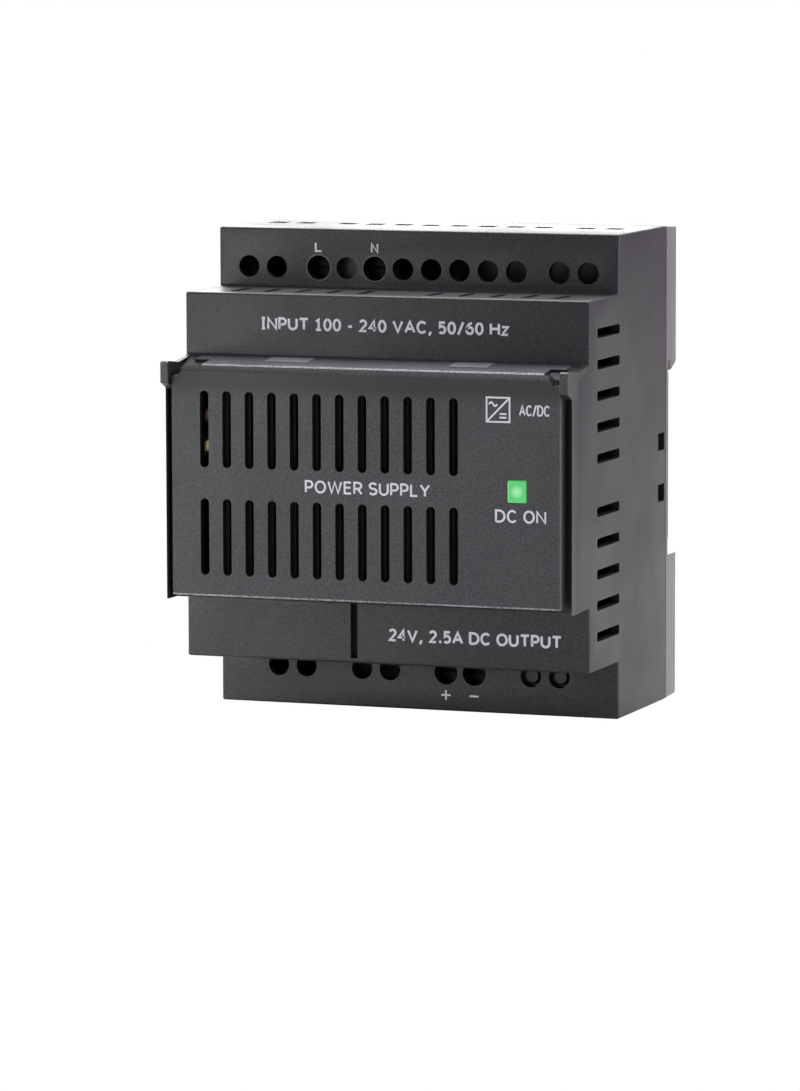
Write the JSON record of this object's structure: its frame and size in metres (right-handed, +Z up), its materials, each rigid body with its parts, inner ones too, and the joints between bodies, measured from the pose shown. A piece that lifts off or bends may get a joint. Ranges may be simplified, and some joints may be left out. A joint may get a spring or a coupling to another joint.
{
  "type": "din rail power supply",
  "caption": "Stepped grey plastic DIN rail power supply: vented front flap, recessed screw terminals above and below, sprung rail latch, and its circuit board inside.",
  "frame": {"origin": "on the front face of the mounting rail, at the rail centre line and the middle of the width", "axes": "+X to the right seen from the front, +Y back through the rail towards the cabinet plate, +Z up along the cabinet"},
  "size_m": [0.0792, 0.0646, 0.09],
  "materials": {
    "housing_plastic": "fine spark-eroded grain, charcoal grey",
    "rear_plastic": "fine grain, lighter grey",
    "flap_plastic": "fine grain, slightly bluish grey",
    "latch_plastic": "satin black",
    "lens": "translucent green",
    "spring_steel": "bright drawn wire",
    "zinc_steel": "bright zinc plate",
    "blackened_steel": "blackened",
    "tinned_brass": "dull tinned brass",
    "block_plastic": "moulded black",
    "circuit_board": "green solder resist",
    "insulating_paper": "pressed fish paper",
    "ferrite": "dull sintered",
    "winding_tape": "polyester tape",
    "capacitor_sleeve": "shrink sleeve",
    "film_capacitor": "moulded box",
    "disc_ceramic": "dipped lacquer",
    "copper_wire": "enamelled copper",
    "black_epoxy": "moulded epoxy",
    "fuse_ceramic": "unglazed tube",
    "heatsink_aluminium": "black anodised",
    "trimmer_plastic": "moulded blue",
    "led_epoxy": "diffused green"
  },
  "bodies": {
    "enclosure": {"blank_plug_1": "housing_plastic", "blank_plug_2": "housing_plastic", "board_screw_1": "zinc_steel", "board_screw_2": "zinc_steel", "bridge_rectifier": "black_epoxy", "bulk_capacitor": "capacitor_sleeve", "choke_core": "ferrite", "choke_winding_left": "copper_wire", "choke_winding_right": "copper_wire", "contact_bar_line": "tinned_brass", "contact_bar_minus": "tinned_brass", "contact_bar_neutral": "tinned_brass", "contact_bar_plus": "tinned_brass", "control_ic": "black_epoxy", "fuse": "fuse_ceramic", "housing_shell": "housing_plastic", "indicator_card": "circuit_board", "input_terminal_block": "block_plastic", "insulating_sheet": "insulating_paper", "latch_spring": "spring_steel", "main_board": "circuit_board", "optocoupler": "black_epoxy", "output_capacitor_1": "capacitor_sleeve", "output_capacitor_2": "capacitor_sleeve", "output_diode": "black_epoxy", "output_inductor": "ferrite", "output_terminal_block": "block_plastic", "port_cover": "housing_plastic", "primary_heatsink": "heatsink_aluminium", "rear_base": "rear_plastic", "secondary_heatsink": "heatsink_aluminium", "status_led": "led_epoxy", "switching_transistor": "black_epoxy", "thermistor": "black_epoxy", "transformer_core": "ferrite", "transformer_winding": "winding_tape", "trimmer_body": "trimmer_plastic", "x_capacitor": "film_capacitor", "y_capacitor": "disc_ceramic"},
    "flap": {"front_flap": "flap_plastic", "led_lens": "lens"},
    "latch": {"din_latch": "latch_plastic"},
    "trimmer": {"trimmer_rotor": "zinc_steel"},
    "screw_line": {"terminal_screw_line": "blackened_steel"},
    "cage_line": {"clamp_cage_line": "zinc_steel"},
    "screw_neutral": {"terminal_screw_neutral": "blackened_steel"},
    "cage_neutral": {"clamp_cage_neutral": "zinc_steel"},
    "screw_plus": {"terminal_screw_plus": "blackened_steel"},
    "cage_plus": {"clamp_cage_plus": "zinc_steel"},
    "screw_minus": {"terminal_screw_minus": "blackened_steel"},
    "cage_minus": {"clamp_cage_minus": "zinc_steel"}
  },
  "joints": [
    {"name": "flap_hinge", "type": "hinge", "parent": "enclosure", "child": "flap", "pos_m": [0, -0.0576, 0.01665], "axis": [-1, 0, 0], "range_deg": [0, 110]},
    {"name": "latch_slide", "type": "slide", "parent": "enclosure", "child": "latch", "axis": [0, 0, -1], "range_m": [0, 0.004], "stiffness_N_per_m": 1200, "springref_m": -0.003, "deforming": ["latch_spring"]},
    {"name": "trimmer_turn", "type": "hinge", "parent": "enclosure", "child": "trimmer", "pos_m": [0.0296, -0.0488, -0.01115], "axis": [0, 1, 0], "range_deg": [-135, 135]},
    {"name": "screw_line_turn", "type": "hinge", "parent": "enclosure", "child": "screw_line", "pos_m": [-0.0196, -0.0258, 0.03595], "axis": [0, 1, 0], "range_deg": [0, 2160]},
    {"name": "cage_line_rise", "type": "slide", "parent": "enclosure", "child": "cage_line", "axis": [0, -1, 0], "range_m": [0, 0.003]},
    {"name": "screw_neutral_turn", "type": "hinge", "parent": "enclosure", "child": "screw_neutral", "pos_m": [-0.0084, -0.0258, 0.03595], "axis": [0, 1, 0], "range_deg": [0, 2160]},
    {"name": "cage_neutral_rise", "type": "slide", "parent": "enclosure", "child": "cage_neutral", "axis": [0, -1, 0], "range_m": [0, 0.003]},
    {"name": "screw_plus_turn", "type": "hinge", "parent": "enclosure", "child": "screw_plus", "pos_m": [0.0056, -0.0258, -0.03945], "axis": [0, 1, 0], "range_deg": [0, 2160]},
    {"name": "cage_plus_rise", "type": "slide", "parent": "enclosure", "child": "cage_plus", "axis": [0, -1, 0], "range_m": [0, 0.003]},
    {"name": "screw_minus_turn", "type": "hinge", "parent": "enclosure", "child": "screw_minus", "pos_m": [0.0112, -0.0258, -0.03945], "axis": [0, 1, 0], "range_deg": [0, 2160]},
    {"name": "cage_minus_rise", "type": "slide", "parent": "enclosure", "child": "cage_minus", "axis": [0, -1, 0], "range_m": [0, 0.003]}
  ],
  "couplings": [
    {"joint": "screw_line_turn", "follows": "cage_line_rise", "rad_per_m": 12566},
    {"joint": "screw_neutral_turn", "follows": "cage_neutral_rise", "rad_per_m": 12566},
    {"joint": "screw_plus_turn", "follows": "cage_plus_rise", "rad_per_m": 12566},
    {"joint": "screw_minus_turn", "follows": "cage_minus_rise", "rad_per_m": 12566}
  ]
}
